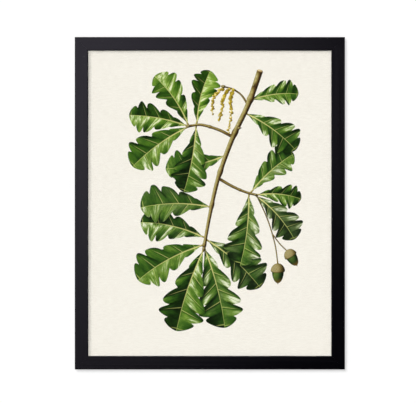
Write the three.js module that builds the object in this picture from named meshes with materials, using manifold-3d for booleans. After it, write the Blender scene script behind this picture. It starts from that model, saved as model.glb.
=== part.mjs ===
// A framed print, ready to hang: four mitred black rails with a rebate behind, and in the rebate a
// sheet of glass, the print and a backing board held by steel tabs. Steel V-nails lock the mitres, a
// sawtooth hanger is pinned to the top rail, and two rubber bumpers keep the foot off the wall.
// Millimetres, +Z up. The front faces -Y and the wall is the plane y = 0. The origin is the top of
// the hanger's centre notch, where the wall's nail carries the frame.
import * as THREE from "three";
import { mergeVertices } from "three/addons/utils/BufferGeometryUtils.js";
import Module from "manifold-3d";

const wasm = await Module();
wasm.setup();

// The sheets in the frame
const SHEET_W = 406.4; // 16 inches
const SHEET_H = 508; // 20 inches
const GLASS_T = 2;
const PAPER_T = 0.35;
const BOARD_T = 3;
const SHEET_GAP = 0.1; // air between lip, glass, board and tabs
const PRINT_GAP = 0.3; // air between the glass and the print

// The moulding
const FACE = 22; // width of a rail seen from the front
const DEPTH = 22; // front to back
const LIP_T = 5; // thickness of the lip in front of the glass
const LAP = 5; // how far the lip covers each edge of the sheet
const REBATE_FIT = 1; // room round the sheets in the rebate
const ARRIS = 0.8; // radius that eases the front edges
const ARRIS_STEPS = 4;
const MITRE_GAP = 0.05; // hairline between two mitred ends

// What holds the frame together and up
const STANDOFF = 3; // rails' back to the wall
const SEAT_GAP = 0.05; // glue line under hanger, pins and bumpers
const NAIL_BELOW_TOP = 12; // the frame's top edge to the wall nail
const V_NAIL = { leg: 5, thick: 0.6, height: 9, sink: 0.3, places: [10.5, 17.5] };
const TAB = { width: 8, thick: 0.5, inside: 8, overBoard: 8, point: 3, tip: 2.5 };
const TAB_PITCH_LONG = 150; // between the tabs of a long rail
const TAB_PITCH_SHORT = 180; // between the tabs of a short rail
const HANGER = { length: 45, height: 11, thick: 0.9, pad: 6.5, joggle: 2.5 };
const TEETH = { pitch: 3.2, flat: 0.4, depth: 2, perSide: 4, centreDepth: 3 };
const PIN = { headR: 2.1, headH: 1.1, shankR: 0.9, length: 9 };
const BUMPER = { r: 5, flatR: 3.2, fromSide: 22, fromFoot: 9 };
const FIT = 0.1; // clearance of a slot or hole round the steel in it

// Worked out from the sizes above
const OPEN_W = SHEET_W - 2 * LAP;
const OPEN_H = SHEET_H - 2 * LAP;
const OUTER_W = OPEN_W + 2 * FACE;
const OUTER_H = OPEN_H + 2 * FACE;
const REBATE = LAP + REBATE_FIT;
const GLASS_Y = -DEPTH + LIP_T + SHEET_GAP; // front of the glass, from the rails' back
const PRINT_Y = GLASS_Y + GLASS_T + PRINT_GAP;
const BOARD_Y = PRINT_Y + PAPER_T + SHEET_GAP;
const TAB_Y = BOARD_Y + BOARD_T + SHEET_GAP;
const HANGER_Z = OUTER_H / 2 - NAIL_BELOW_TOP; // the nail, from the frame's centre

const MATERIAL = {
  black: new THREE.MeshStandardMaterial({ color: 0x1f1e22, roughness: 0.45, metalness: 0 }),
  glass: new THREE.MeshStandardMaterial({
    color: 0xf4faf8, roughness: 0.03, metalness: 0, transparent: true, opacity: 0.15,
  }),
  paper: new THREE.MeshStandardMaterial({ color: 0xf5f1e6, roughness: 0.9, metalness: 0 }),
  board: new THREE.MeshStandardMaterial({ color: 0x8a6446, roughness: 0.85, metalness: 0 }),
  steel: new THREE.MeshStandardMaterial({ color: 0xb9bbbd, roughness: 0.35, metalness: 1 }),
  plated: new THREE.MeshStandardMaterial({ color: 0xd3d5d8, roughness: 0.25, metalness: 1 }),
  rubber: new THREE.MeshStandardMaterial({ color: 0x26262a, roughness: 0.7, metalness: 0 }),
};

// ---- Solids -------------------------------------------------------------------------------------

// A closed geometry as a solid for cutting.
function solid(geometry) {
  const bare = geometry.clone();
  bare.deleteAttribute("normal");
  bare.deleteAttribute("uv");
  const merged = mergeVertices(bare, 1e-4);
  return new wasm.Manifold(new wasm.Mesh({
    numProp: 3,
    vertProperties: new Float32Array(merged.attributes.position.array),
    triVerts: new Uint32Array(merged.index.array),
  }));
}

// A cut solid back as a geometry with flat faces.
function geometryOf(made) {
  const mesh = made.getMesh();
  const geometry = new THREE.BufferGeometry();
  geometry.setAttribute("position", new THREE.BufferAttribute(mesh.vertProperties, 3));
  geometry.setIndex(new THREE.BufferAttribute(mesh.triVerts, 1));
  const flat = geometry.toNonIndexed();
  flat.computeVertexNormals();
  return flat;
}

function cut(geometry, tools) {
  return geometryOf(tools.reduce((left, tool) => left.subtract(solid(tool)), solid(geometry)));
}

// An outline of [x, z] points, counter-clockwise seen from the front, as a plate from y = near
// (towards the front) to y = near + thick.
function plate(points, near, thick) {
  const shape = new THREE.Shape(points.map(([x, z]) => new THREE.Vector2(x, z)));
  const geometry = new THREE.ExtrudeGeometry(shape, { depth: thick, bevelEnabled: false });
  return geometry.rotateX(Math.PI / 2).translate(0, near + thick, 0);
}

function add(group, name, geometry, material) {
  const mesh = new THREE.Mesh(geometry, material);
  mesh.name = name;
  group.add(mesh);
  return mesh;
}

// ---- Where things repeat ------------------------------------------------------------------------

// The four sides of the frame. turn is the rail's rotation about Y from the bottom rail's place,
// half is half the opening along the rail, and away is half the opening across it.
const SIDES = [
  { name: "bottom", turn: 0, half: OPEN_W / 2, away: OPEN_H / 2 },
  { name: "left", turn: Math.PI / 2, half: OPEN_H / 2, away: OPEN_W / 2 },
  { name: "top", turn: Math.PI, half: OPEN_W / 2, away: OPEN_H / 2 },
  { name: "right", turn: -Math.PI / 2, half: OPEN_H / 2, away: OPEN_W / 2 },
];

// Moves a geometry made for the bottom rail to another side. It is made with x along the rail and
// z = -u, where u is the distance outwards from the edge of the opening.
function toSide(geometry, side) {
  return geometry.translate(0, 0, -side.away).rotateY(side.turn);
}

// Tab places along a side, as distances from its middle.
function tabPlaces(side) {
  return side.half > OPEN_W / 2
    ? [-TAB_PITCH_LONG, 0, TAB_PITCH_LONG]
    : [-TAB_PITCH_SHORT / 2, TAB_PITCH_SHORT / 2];
}

// ---- Steel that goes into the rails --------------------------------------------------------------

// A flexible tab: pointed where it is driven into the rail, round where it lies on the board.
function tabGeometry(side, along, room = 0) {
  const half = TAB.width / 2 + room;
  const root = REBATE + TAB.inside + room;
  const end = REBATE - REBATE_FIT - TAB.overBoard;
  const outline = [
    [along, -root],
    [along + half, -root + TAB.point],
    [along + half, -end - TAB.tip],
  ];
  const steps = 6;
  for (let i = 1; i < steps; i += 1) {
    const turn = (Math.PI * i) / steps;
    outline.push([along + half * Math.cos(turn), -end - TAB.tip + TAB.tip * Math.sin(turn)]);
  }
  outline.push([along - half, -end - TAB.tip], [along - half, -root + TAB.point]);
  return toSide(plate(outline, TAB_Y - room, TAB.thick + 2 * room), side);
}

// A V-nail across the mitre at the right-hand end of a side, seen from the front. Its corner lies
// on the mitre, u from the opening's edge, and one leg runs back along each of the two rails.
function vNailGeometry(side, u, room = 0) {
  const x = side.half + u;
  const t = V_NAIL.thick / 2 + room;
  const leg = V_NAIL.leg + room;
  const outline = [
    [x + t, -u - t],
    [x + t, -u + leg],
    [x - t, -u + leg],
    [x - t, -u + t],
    [x - leg, -u + t],
    [x - leg, -u - t],
  ];
  const near = -V_NAIL.height - V_NAIL.sink - room;
  const far = room > 0 ? V_NAIL.sink : -V_NAIL.sink;
  return toSide(plate(outline, near, far - near), side);
}

// The two pins' places along the hanger.
const PIN_X = [-1, 1].map((way) => way * (HANGER.length / 2 - HANGER.pad / 2));
const PIN_Z = HANGER_Z - TEETH.centreDepth + HANGER.height / 2;

// A round-headed pin along Y, its head's seat on the hanger's pad.
function pinGeometry(x) {
  const seat = SEAT_GAP + HANGER.thick + SEAT_GAP;
  const steps = 5;
  const profile = [[0, seat - PIN.length], [PIN.shankR * 0.6, seat - PIN.length + 0.6]];
  profile.push([PIN.shankR, seat - PIN.length + 2.4], [PIN.shankR, seat]);
  for (let i = 0; i < steps; i += 1) {
    const turn = (Math.PI / 2) * (i / steps);
    profile.push([PIN.headR * Math.cos(turn), seat + PIN.headH * Math.sin(turn)]);
  }
  profile.push([0, seat + PIN.headH]);
  const outline = profile.map(([r, y]) => new THREE.Vector2(r, y));
  return new THREE.LatheGeometry(outline, 20).translate(x, 0, PIN_Z);
}

// A hole round a pin's shank, from y = from to y = to.
function pinHole(x, from, to) {
  const drill = new THREE.CylinderGeometry(PIN.shankR + FIT, PIN.shankR + FIT, to - from, 20);
  return drill.translate(x, (from + to) / 2, PIN_Z);
}

// ---- Pieces -------------------------------------------------------------------------------------

// Section of the moulding, x = u outwards from the opening and y = towards the front.
function mouldingSection() {
  const shape = new THREE.Shape();
  shape.moveTo(REBATE, 0);
  shape.lineTo(FACE, 0);
  shape.lineTo(FACE, DEPTH - ARRIS);
  shape.absarc(FACE - ARRIS, DEPTH - ARRIS, ARRIS, 0, Math.PI / 2, false);
  shape.lineTo(ARRIS, DEPTH);
  shape.absarc(ARRIS, DEPTH - ARRIS, ARRIS, Math.PI / 2, Math.PI, false);
  shape.lineTo(0, DEPTH - LIP_T);
  shape.lineTo(REBATE, DEPTH - LIP_T);
  shape.closePath();
  return shape;
}

// One rail: the section carried along the side, with each end sheared to the 45 degree mitre.
function railGeometry(side) {
  const geometry = new THREE.ExtrudeGeometry(mouldingSection(), {
    depth: 1, bevelEnabled: false, curveSegments: ARRIS_STEPS,
  });
  const at = geometry.attributes.position;
  for (let i = 0; i < at.count; i += 1) {
    const u = at.getX(i);
    const forward = at.getY(i);
    const end = at.getZ(i) > 0.5 ? -1 : 1;
    const reach = side.half + u - MITRE_GAP / 2;
    at.setXYZ(i, end * reach, -forward, -u);
  }
  return toSide(geometry, side);
}

function addRails(group) {
  for (const [i, side] of SIDES.entries()) {
    const next = SIDES[(i + 1) % SIDES.length]; // its V-nails hold this rail's left-hand end
    const tools = V_NAIL.places.flatMap((u) => [
      vNailGeometry(side, u, FIT),
      vNailGeometry(next, u, FIT),
    ]);
    tools.push(...tabPlaces(side).map((along) => tabGeometry(side, along, FIT)));
    if (side.name === "top") {
      tools.push(...PIN_X.map((x) => pinHole(x, -PIN.length - FIT, 1)));
    }
    add(group, `rail_${side.name}`, cut(railGeometry(side), tools), MATERIAL.black);
  }
}

function addSheets(group) {
  const layers = [
    ["glazing", GLASS_Y, GLASS_T, MATERIAL.glass],
    ["print_sheet", PRINT_Y, PAPER_T, MATERIAL.paper],
    ["backing_board", BOARD_Y, BOARD_T, MATERIAL.board],
  ];
  for (const [name, y, thick, material] of layers) {
    const sheet = add(group, name, new THREE.BoxGeometry(SHEET_W, thick, SHEET_H), material);
    sheet.position.y = y + thick / 2;
  }
}

function addSteel(group) {
  for (const side of SIDES) {
    tabPlaces(side).forEach((along, i) => {
      add(group, `tab_${side.name}_${i + 1}`, tabGeometry(side, along), MATERIAL.steel);
    });
    V_NAIL.places.forEach((u, i) => {
      add(group, `v_nail_${side.name}_${i + 1}`, vNailGeometry(side, u), MATERIAL.steel);
    });
  }
}

// The hanger strip seen from above: two pads on the rail and, between two joggles, a middle that
// stands off it so that the nail's head can go behind the teeth.
function hangerStrip() {
  const end = HANGER.length / 2;
  const pad = end - HANGER.pad;
  const raised = pad - HANGER.joggle;
  const low = SEAT_GAP;
  const high = STANDOFF - HANGER.thick;
  const bend = Math.atan2(high - low, HANGER.joggle);
  const slant = (HANGER.thick * Math.tan(bend / 2)) / 2; // keeps the strip as thick in the joggles
  const right = [
    [end, low], [end, low + HANGER.thick],
    [pad + slant, low + HANGER.thick], [raised + slant, high + HANGER.thick],
  ];
  const under = [[-end, low], [-pad + slant, low], [-raised + slant, high]];
  const mirrored = ([x, y]) => [-x, y];
  const points = [
    ...right, ...right.map(mirrored).reverse().slice(0, -1),
    ...under, ...under.slice(1).map(mirrored).reverse(),
  ];
  const shape = new THREE.Shape(points.map(([x, y]) => new THREE.Vector2(x, y)));
  const strip = new THREE.ExtrudeGeometry(shape, { depth: HANGER.height, bevelEnabled: false });
  return strip.translate(0, 0, HANGER_Z - TEETH.centreDepth);
}

// Half a notch's width for each millimetre of its height.
const NOTCH_SLOPE = (TEETH.pitch - TEETH.flat) / 2 / TEETH.depth;

// A notch with its top at a height, cut right through the strip's lower edge.
function notch(x, top) {
  const bottom = HANGER_Z - TEETH.centreDepth - 1;
  const half = (top - bottom) * NOTCH_SLOPE;
  return plate([[x - half, bottom], [x + half, bottom], [x, top]], -1, STANDOFF + 2);
}

function addHanger(group) {
  const tools = [notch(0, HANGER_Z)];
  const sideTop = HANGER_Z - TEETH.centreDepth + TEETH.depth;
  const first = TEETH.flat + NOTCH_SLOPE * (TEETH.centreDepth + TEETH.depth);
  for (let i = 0; i < TEETH.perSide; i += 1) {
    const x = first + i * TEETH.pitch;
    tools.push(notch(x, sideTop), notch(-x, sideTop));
  }
  tools.push(...PIN_X.map((x) => pinHole(x, -1, STANDOFF)));
  add(group, "sawtooth_hanger", cut(hangerStrip(), tools), MATERIAL.plated);
  PIN_X.forEach((x, i) => add(group, `hanger_pin_${i + 1}`, pinGeometry(x), MATERIAL.plated));
}

// A domed bumper with a flat crown that meets the wall.
function bumperGeometry() {
  const steps = 6;
  const height = STANDOFF - SEAT_GAP;
  const round = BUMPER.r - BUMPER.flatR;
  const profile = [new THREE.Vector2(0, SEAT_GAP), new THREE.Vector2(BUMPER.r, SEAT_GAP)];
  for (let i = 0; i <= steps; i += 1) {
    const turn = (Math.PI / 2) * (i / steps);
    profile.push(new THREE.Vector2(
      BUMPER.flatR + round * Math.cos(turn),
      SEAT_GAP + height * (0.35 + 0.65 * Math.sin(turn)),
    ));
  }
  profile.push(new THREE.Vector2(0, STANDOFF));
  return new THREE.LatheGeometry(profile, 32);
}

function addBumpers(group) {
  for (const [name, way] of [["left", -1], ["right", 1]]) {
    const bumper = add(group, `bumper_${name}`, bumperGeometry(), MATERIAL.rubber);
    const x = way * (OUTER_W / 2 - BUMPER.fromSide);
    bumper.position.set(x, 0, -OUTER_H / 2 + BUMPER.fromFoot);
  }
}

// ---- The whole part ------------------------------------------------------------------------------

// Made about the centre of the rails' back, then moved so that the hanger's notch is the origin.
const frame = new THREE.Group();
addRails(frame);
addSheets(frame);
addSteel(frame);
addHanger(frame);
addBumpers(frame);
frame.position.set(0, -STANDOFF, -HANGER_Z);

const part = new THREE.Group();
part.add(frame);

export default part;
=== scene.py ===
"""A framed botanical print: a black mitred frame with glass, and behind the glass an oak twig with
acorns and catkins, printed on cream paper. Steel tabs hold the backing board, and a sawtooth hanger
and two rubber bumpers meet the wall. Metres, +Z up; the picture faces -Y and the wall is y = 0.
"""

import math

import bpy
import numpy as np
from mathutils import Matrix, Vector


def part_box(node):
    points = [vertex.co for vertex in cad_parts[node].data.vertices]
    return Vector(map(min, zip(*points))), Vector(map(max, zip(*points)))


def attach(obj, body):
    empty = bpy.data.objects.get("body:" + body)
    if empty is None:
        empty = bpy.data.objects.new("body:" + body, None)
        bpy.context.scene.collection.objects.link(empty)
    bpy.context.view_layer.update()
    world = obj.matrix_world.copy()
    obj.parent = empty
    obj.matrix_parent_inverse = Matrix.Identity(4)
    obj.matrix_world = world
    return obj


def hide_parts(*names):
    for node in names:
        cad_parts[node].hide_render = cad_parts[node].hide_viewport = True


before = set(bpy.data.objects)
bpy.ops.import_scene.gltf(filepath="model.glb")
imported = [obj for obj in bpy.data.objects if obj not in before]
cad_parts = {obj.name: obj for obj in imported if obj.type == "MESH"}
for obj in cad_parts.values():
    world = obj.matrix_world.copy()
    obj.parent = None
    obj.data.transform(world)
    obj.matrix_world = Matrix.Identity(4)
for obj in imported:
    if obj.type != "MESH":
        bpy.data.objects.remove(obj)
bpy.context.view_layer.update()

MM = 0.001


def node_box(node):
    """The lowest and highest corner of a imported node, as arrays."""
    low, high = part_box(node)
    return np.array(low), np.array(high)


# ---- Sizes, read from the frame or named here ----

LEFT_LOW, LEFT_HIGH = node_box("rail_left")
HANGER_LOW, HANGER_HIGH = node_box("sawtooth_hanger")

FACE = LEFT_HIGH[0] - LEFT_LOW[0]
FRONT_Y = LEFT_LOW[1]
BACK_Y = LEFT_HIGH[1]
DEPTH = BACK_Y - FRONT_Y
FRAME_BOTTOM = node_box("rail_bottom")[0][2]
FRAME_TOP = node_box("rail_top")[1][2]
OPEN_W = -2 * LEFT_LOW[0] - 2 * FACE
OPEN_H = FRAME_TOP - FRAME_BOTTOM - 2 * FACE
CENTRE = np.array([0, 0, (FRAME_TOP + FRAME_BOTTOM) / 2])

LIP_T = 5 * MM
REBATE = 6 * MM
ARRIS = 0.8 * MM
ARRIS_STEPS = 8
MITRE_GAP = 0.05 * MM
EDGE_BAND = 0.9 * MM  # strip of the face beside each eased edge
BACK_CHAMFER = 0.3 * MM
STATIONS = 9  # places along a rail where its section stands

# The four sides: name, turn about Y from the bottom's place, half the opening along, half across.
SIDES = (
    ("bottom", 0, OPEN_W / 2, OPEN_H / 2),
    ("left", 90, OPEN_H / 2, OPEN_W / 2),
    ("top", 180, OPEN_W / 2, OPEN_H / 2),
    ("right", -90, OPEN_H / 2, OPEN_W / 2),
)


# ---- Meshes ----


def unit(vectors):
    """Each vector divided by its length."""
    return vectors / np.maximum(np.linalg.norm(vectors, axis=-1, keepdims=True), 1e-12)


def grid(*parts):
    """Vectors from their parts, which may be grids, rows, columns or numbers."""
    return np.stack(np.broadcast_arrays(*parts), -1)


def heading_vector(degrees):
    """The unit vector at an angle: its cosine and its sine."""
    return np.array([math.cos(math.radians(degrees)), math.sin(math.radians(degrees))])


def put(name, data):
    """A new object in the scene."""
    made = bpy.data.objects.new(name, data)
    bpy.context.scene.collection.objects.link(made)
    return made


def smoothstep(low, high, value):
    """0 below low, 1 above high, and 3t^2 - 2t^3 between them."""
    t = np.clip((value - low) / (high - low), 0, 1)
    return t * t * (3 - 2 * t)


def arc(x, y, radius, start, end, steps):
    """Points of a circle's arc about (x, y), from one angle to another in degrees."""
    turn = np.radians(np.linspace(start, end, steps + 1))
    return grid(x + radius * np.cos(turn), y + radius * np.sin(turn))


class Patch:
    """A grid of points, rows by columns. around joins the last column to the first, and caps closes
    both ends of such a tube. uv has one column more where around is set. painted holds values, each
    an array of rows by columns, that the piece's material reads."""

    def __init__(self, points, uv=None, around=False, caps=False, painted=None):
        self.points = np.asarray(points, float)
        rows, columns = self.points.shape[:2]
        self.around = around
        self.caps = caps
        self.painted = painted or {}
        wide = columns + 1 if around else columns
        self.uv = np.zeros((rows, wide, 2)) if uv is None else uv

    def quads(self, start):
        """Each quad joins a point, the next in its row, and the two in the row after."""
        rows, columns = self.points.shape[:2]
        row = np.arange(rows - 1)[:, None] * columns
        column = np.arange(columns if self.around else columns - 1)[None, :]
        beside = (column + 1) % columns
        after = row + columns
        corners = grid(row + column, row + beside, after + beside, after + column)
        return start + corners.reshape(-1, 4)

    def corner_uv(self):
        """The UV of every quad's corners, in the order of quads."""
        uv = self.uv
        corners = (uv[:-1, :-1], uv[:-1, 1:], uv[1:, 1:], uv[1:, :-1])
        return np.stack(corners, 2).reshape(-1, 2)

    def outline(self):
        """The patch's edge as x and z, up one long side and back down the other."""
        flat = self.points[..., [0, 2]]
        return np.concatenate([flat[:, 0], flat[::-1, -1]])


def assemble(name, patches, material, nodes=(), crease=None):
    """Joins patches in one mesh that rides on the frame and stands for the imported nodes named.
    Edges that turn more than crease degrees stay sharp."""
    points, faces, uvs = [], [], []
    start = 0
    for patch in patches:
        rows, columns = patch.points.shape[:2]
        points.append(patch.points.reshape(-1, 3))
        faces += patch.quads(start).tolist()
        uvs.append(patch.corner_uv())
        if patch.caps:
            first = start + np.arange(columns)
            faces += [first[::-1].tolist(), (first + (rows - 1) * columns).tolist()]
            uvs.append(np.zeros((2 * columns, 2)))
        start += rows * columns
    mesh = bpy.data.meshes.new(name)
    mesh.from_pydata(np.concatenate(points), [], faces)
    layer = mesh.uv_layers.new(name="grain")
    layer.uv.foreach_set("vector", np.concatenate(uvs).astype(np.float32).ravel())
    for key in patches[0].painted:
        values = np.concatenate([patch.painted[key].ravel() for patch in patches])
        attribute = mesh.attributes.new(key, "FLOAT", "POINT")
        attribute.data.foreach_set("value", values.astype(np.float32))
    mesh.shade_smooth()
    if crease is not None:
        mesh.set_sharp_from_angle(angle=math.radians(crease))
    mesh.materials.append(material)
    piece = put(name, mesh)
    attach(piece, "root")
    if nodes:
        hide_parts(*nodes)
    return piece


def to_side(points, turn):
    """Turns points made about the frame's centre, with the bottom side at -Z, to another side."""
    c, s = heading_vector(turn)
    x, y, z = points[..., 0], points[..., 1], points[..., 2]
    return grid(x * c + z * s, y, z * c - x * s) + CENTRE


# ---- Shader maths ----


class Term:
    """What a node gives at one of its outputs. Python's operators on it add Math nodes."""

    def __init__(self, graph, socket):
        self.graph = graph
        self.socket = socket

    def beside(self, output):
        """Another output of the same node."""
        return Term(self.graph, self.socket.node.outputs[output])

    def math(self, operation, *others):
        return self.graph.node("ShaderNodeMath", {"operation": operation}, (self, *others))

    def __add__(self, other):
        return self.math("ADD", other)

    __radd__ = __add__

    def __sub__(self, other):
        return self.math("SUBTRACT", other)

    def __rsub__(self, other):
        return self.graph.node("ShaderNodeMath", {"operation": "SUBTRACT"}, (other, self))

    def __mul__(self, other):
        return self.math("MULTIPLY", other)

    __rmul__ = __mul__

    def __abs__(self):
        return self.math("ABSOLUTE")

    def fraction(self):
        return self.math("FRACT")

    def most(self, other):
        return self.math("MAXIMUM", other)

    def step(self, low, high):
        """0 below low, 1 above high, smooth between; the other way round if low is the higher."""
        if low < high:
            inputs = {"Value": self, "From Min": low, "From Max": high}
            return self.graph.node("ShaderNodeMapRange", {"interpolation_type": "SMOOTHSTEP"}, inputs)
        return 1 - self.step(high, low)


MATT = 0.85
WHITE = (1, 1, 1, 1)


class Graph:
    """A tree of nodes, which come from one method."""

    def __init__(self, tree):
        self.tree = tree

    def node(self, kind, settings=None, inputs=(), output=0):
        """Adds a node: its settings first, then its sockets' values or links. A ramp's stops are
        (position, colour) pairs."""
        node = self.tree.nodes.new(kind)
        for key, value in (settings or {}).items():
            if key == "stops":
                self.set_stops(node.color_ramp, value)
            else:
                setattr(node, key, value)
        pairs = inputs.items() if isinstance(inputs, dict) else enumerate(inputs)
        for key, value in pairs:
            self.feed(node.inputs[key], value)
        return Term(self, node.outputs[output])

    def set_stops(self, ramp, stops):
        while len(ramp.elements) < len(stops):
            ramp.elements.new(1)
        for element, (position, colour) in zip(ramp.elements, stops):
            element.position = position
            element.color = colour

    def feed(self, socket, value):
        """Sets a socket to a number or colour, or links it to a Term."""
        if isinstance(value, Term):
            self.tree.links.new(value.socket, socket)
        else:
            socket.default_value = value

    def blend(self, factor, first, second, end="Material Output"):
        """Ends the tree in a mix of two shaders: the first where factor is 0."""
        mixed = self.node("ShaderNodeMixShader", inputs=(factor, first, second))
        self.feed(self.tree.nodes[end].inputs["Surface"], mixed)

    def see_through(self, colour=WHITE):
        return self.node("ShaderNodeBsdfTransparent", inputs={"Color": colour})

    def back_face(self):
        """1 where the surface is met from behind."""
        return self.node("ShaderNodeNewGeometry", output="Backfacing")


class Paint(Graph):
    """A material of one Principled shader."""

    def __init__(self, name):
        self.material = bpy.data.materials.new(name)
        self.material.use_nodes = True
        super().__init__(self.material.node_tree)
        self.shader = self.tree.nodes["Principled BSDF"]

    def finish(self, base_color, roughness=MATT, **values):
        """Feeds the shader's sockets, named in lower case with underscores, and gives the material."""
        values |= {"base_color": base_color, "roughness": roughness}
        for key, value in values.items():
            self.feed(self.shader.inputs[key.replace("_", " ").title()], value)
        return self.material

    def number(self, name):
        """A value painted on the mesh's points."""
        return self.node("ShaderNodeAttribute", {"attribute_name": name}, output="Fac")

    def grain_uv(self):
        """The two coordinates of the piece's own UV map."""
        uv = self.node("ShaderNodeUVMap", {"uv_map": "grain"})
        along = self.node("ShaderNodeSeparateXYZ", inputs=(uv,))
        return along, along.beside("Y")

    def place(self):
        """The point's x, y and z in metres."""
        spot = self.node("ShaderNodeTexCoord", output="Object")
        x = self.node("ShaderNodeSeparateXYZ", inputs=(spot,))
        return x, x.beside("Y"), x.beside("Z")

    def noise(self, x, y, z=0.0, detail=3.0, roughness=0.5):
        """Smooth noise from 0 to 1 at coordinates that count its lumps."""
        spot = self.node("ShaderNodeCombineXYZ", inputs=(x, y, z))
        inputs = {"Vector": spot, "Scale": 1.0, "Detail": detail, "Roughness": roughness}
        return self.node("ShaderNodeTexNoise", inputs=inputs, output="Fac")

    def ramp(self, value, stops):
        return self.node("ShaderNodeValToRGB", {"stops": stops}, (value,))

    def mix(self, factor, a, b):
        """Colour a where factor is 0 and b where it is 1. A Mix node has its colours at inputs 6 and
        7 and at output 2."""
        return self.node("ShaderNodeMix", {"data_type": "RGBA"}, {0: factor, 6: a, 7: b}, output=2)

    def bump(self, height, distance, strength):
        """The normal of a surface raised by height times distance in metres."""
        inputs = {"Height": height, "Distance": distance, "Strength": strength}
        return self.node("ShaderNodeBump", inputs=inputs)


def rgb(red, green, blue):
    """A linear colour from display values of 0 to 255."""
    values = np.array([red, green, blue]) / 255
    linear = np.where(values <= 0.04045, values / 12.92, ((values + 0.055) / 1.055) ** 2.4)
    return (*linear.tolist(), 1.0)


# ---- Materials of the frame ----


def black_lacquer():
    """Satin black lacquer over fine-grained hardwood: the pores run along the rail and show only as
    a faint relief and a slight change of sheen. The eased edges and the sides are matt."""
    paint = Paint("black_lacquer")
    along, around = paint.grain_uv()
    pores = paint.noise(along * 60, around * 1700, detail=4, roughness=0.6)
    streaks = paint.noise(along * 2.5, around * 330, 7.0, detail=1)
    cloud = paint.noise(along * 9, around * 60, 3.0, detail=2)
    tone = cloud * 0.6 + pores * 0.4
    return paint.finish(
        base_color=paint.mix(tone, (0.0003, 0.0003, 0.0008, 1), (0.0009, 0.0008, 0.0017, 1)),
        roughness=0.16 + cloud * 0.03 + pores * 0.05 + streaks * 0.1 + paint.number("matt") * 0.3,
        normal=paint.bump(pores * 0.25 + streaks, 0.2 * MM, 0.6),
    )


def clear_glass():
    """Clear sheet: what lies behind shows through, under a thin mirror on its outer faces that
    Fresnel makes stronger at a slant."""
    paint = Paint("clear_glass")
    paint.tree.nodes.remove(paint.shader)
    mirror = paint.node("ShaderNodeBsdfGlossy", inputs={"Roughness": 0.02})
    fresnel = paint.node("ShaderNodeFresnel", inputs={"IOR": 1.45})
    behind = paint.see_through((0.998, 0.999, 0.998, 1))
    paint.blend(fresnel * (1 - paint.back_face()), behind, mirror)
    return paint.material


def hardboard():
    """Pressed brown fibreboard: short fibres lying every way, darker flecks, and a waxy face."""
    paint = Paint("hardboard")
    x, y, z = paint.place()
    fibres = 0
    for angle in (20, 75, 130, 165):
        c, s = heading_vector(angle)
        along, across = x * c + z * s, z * c - x * s
        fibres = fibres + paint.noise(along * 380, across * 2000, y * 300 + angle, detail=4) * 0.25
    cloud = paint.noise(x * 16, z * 16, detail=3)
    flecks = paint.noise(x * 420, z * 700, y * 500, detail=2).step(0.66, 0.72)
    tone = fibres * 0.91 + cloud * 0.09
    stops = ((0.38, rgb(98, 68, 46)), (0.5, rgb(140, 100, 68)), (0.62, rgb(172, 130, 94)))
    colour = paint.mix(flecks * 0.5, paint.ramp(tone, stops), rgb(72, 46, 30))
    return paint.finish(
        base_color=colour,
        roughness=0.55 + fibres * 0.25,
        normal=paint.bump(tone, 0.05 * MM, 0.5),
    )


def zinc(name, dull, tint):
    """Zinc plate on steel: crystals a few millimetres wide, rolling lines, and dull spots."""
    paint = Paint(name)
    x, y, z = paint.place()
    spangle = paint.noise(x * 700, z * 700, y * 700, detail=2)
    rolled = paint.noise(x * 300, z * 6000, y * 300, detail=2)
    tone = spangle * 0.7 + rolled * 0.3
    dark = tuple(0.72 * value for value in tint[:3]) + (1.0,)
    return paint.finish(
        metallic=1.0,
        base_color=paint.mix(tone, dark, tint),
        roughness=dull + 0.16 * (spangle - 0.5),
        normal=paint.bump(rolled, 0.006 * MM, 0.5),
    )


def soft_rubber():
    """Moulded black rubber with a dusty bloom."""
    paint = Paint("soft_rubber")
    x, y, z = paint.place()
    bloom = paint.noise(x * 500, y * 500, z * 500, detail=4)
    return paint.finish(
        base_color=paint.mix(bloom, rgb(28, 28, 30), rgb(58, 57, 58)),
        roughness=0.5 + bloom * 0.3,
        normal=paint.bump(bloom, 0.03 * MM, 0.5),
    )


# ---- Pieces of the frame ----


def moulding_section():
    """The rail's outline, clockwise in u (outwards from the opening) and f (forwards from the back):
    a flat face, two eased edges, and the rebate behind the lip."""
    inner, outer = ARRIS + EDGE_BAND, FACE - ARRIS - EDGE_BAND
    outline = np.vstack([
        [[REBATE, 0], [FACE - BACK_CHAMFER, 0]],
        [[FACE, BACK_CHAMFER], [FACE, DEPTH - 2 * ARRIS]],
        arc(FACE - ARRIS, DEPTH - ARRIS, ARRIS, 0, 90, ARRIS_STEPS),
        [[outer, DEPTH], [inner, DEPTH]],
        arc(ARRIS, DEPTH - ARRIS, ARRIS, 90, 180, ARRIS_STEPS),
        [[0, DEPTH - 2 * ARRIS], [0, DEPTH - LIP_T], [REBATE, DEPTH - LIP_T]],
    ])
    return outline[::-1]


def rail(half, away, turn):
    """The section carried along x, where x = e (half + u) for e from -1 to 1, so that both ends are
    45 degree mitres."""
    section = moulding_section()
    u, forward = section[:, 0], section[:, 1]
    stations = np.linspace(-1, 1, STATIONS)[:, None]
    x = stations * (half + u - MITRE_GAP / 2)
    points = to_side(grid(x, BACK_Y - forward, -away - u), turn)
    lengths = np.linalg.norm(np.diff(section, axis=0, append=section[:1]), axis=1)
    around = np.concatenate([[0], np.cumsum(lengths)])
    uv = np.empty((len(stations), len(u) + 1, 2))
    uv[..., 0] = stations * half + 2 * turn / 90  # so that no two rails share their grain
    uv[..., 1] = around
    matt = 1.0 - ((u > ARRIS) & (u < FACE - ARRIS) & (forward > DEPTH / 2))
    painted = {"matt": np.broadcast_to(matt, x.shape)}
    return Patch(points, uv, around=True, caps=True, painted=painted)


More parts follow.
